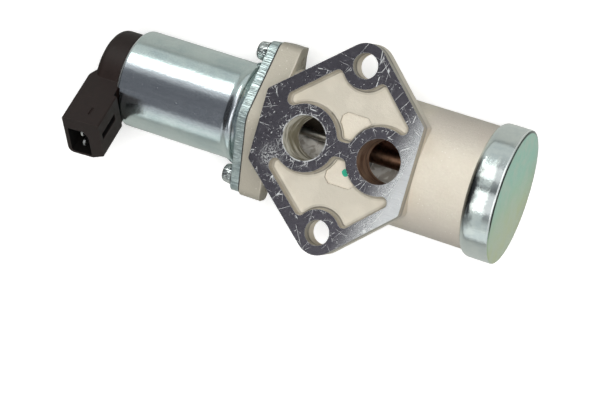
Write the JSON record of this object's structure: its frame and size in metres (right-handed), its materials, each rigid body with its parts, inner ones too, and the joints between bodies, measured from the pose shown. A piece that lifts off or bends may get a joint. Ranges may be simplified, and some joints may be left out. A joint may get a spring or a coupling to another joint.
{
  "type": "idle air control valve",
  "caption": "Idle air control valve: solenoid with angled plug socket drives a spring-closed disc valve in a cast body with a lozenge port flange and a pressed end cap.",
  "frame": {"origin": "on the flange's machined face, midway between the two bolt holes and between the two ports", "axes": "+Z is the flange face's outward normal, X is the valve's axis with the end cap at +X and the solenoid at -X, Y runs from one bolt hole to the other"},
  "size_m": [0.1512, 0.0708, 0.0516],
  "materials": {
    "casting": "as cast, lightly blasted, machined on the flange face",
    "cap_zinc": "bright zinc plating with a green-blue passivation",
    "plate_zinc": "bright zinc plating",
    "can_zinc": "bright zinc plating",
    "screw_zinc": "bright zinc plating",
    "black_plastic": "moulded glass-filled plastic",
    "terminal_tin": "tin plated",
    "gasket_fibre": "pressed fibre",
    "seal_rubber": "smooth",
    "soft_iron": "turned",
    "turned_steel": "turned",
    "shaft_steel": "ground",
    "sleeve_bronze": "ground, dull",
    "bush_bronze": "sintered",
    "coil_copper": "enamelled wire",
    "bobbin_plastic": "moulded",
    "spring_steel": "drawn wire"
  },
  "bodies": {
    "housing": {"valve_body": "casting", "seat_insert": "turned_steel", "front_bush": "bush_bronze", "rear_guide": "turned_steel", "rear_bush": "bush_bronze", "end_cap": "cap_zinc", "cap_oring": "seal_rubber", "plate_gasket": "gasket_fibre", "mounting_plate": "plate_zinc", "solenoid_can": "can_zinc", "flux_washer": "soft_iron", "pole_piece": "soft_iron", "guide_tube": "turned_steel", "tube_oring": "seal_rubber", "coil_bobbin": "bobbin_plastic", "coil_winding": "coil_copper", "connector_housing": "black_plastic", "housing_oring": "seal_rubber", "terminal_pins": "terminal_tin", "housing_screws": "screw_zinc", "spring_washers": "screw_zinc", "plain_washers": "screw_zinc", "return_spring": "spring_steel"},
    "plunger": {"armature": "soft_iron", "valve_shaft": "shaft_steel", "valve_disc": "turned_steel", "guide_sleeve": "sleeve_bronze", "spring_seat": "turned_steel", "shaft_nut": "turned_steel"}
  },
  "joints": [
    {"name": "plunger_slide", "type": "slide", "parent": "housing", "child": "plunger", "axis": [-1, 0, 0], "range_m": [0, 0.0035], "stiffness_N_per_m": 800, "springref_m": -0.004, "deforming": ["return_spring"]}
  ]
}
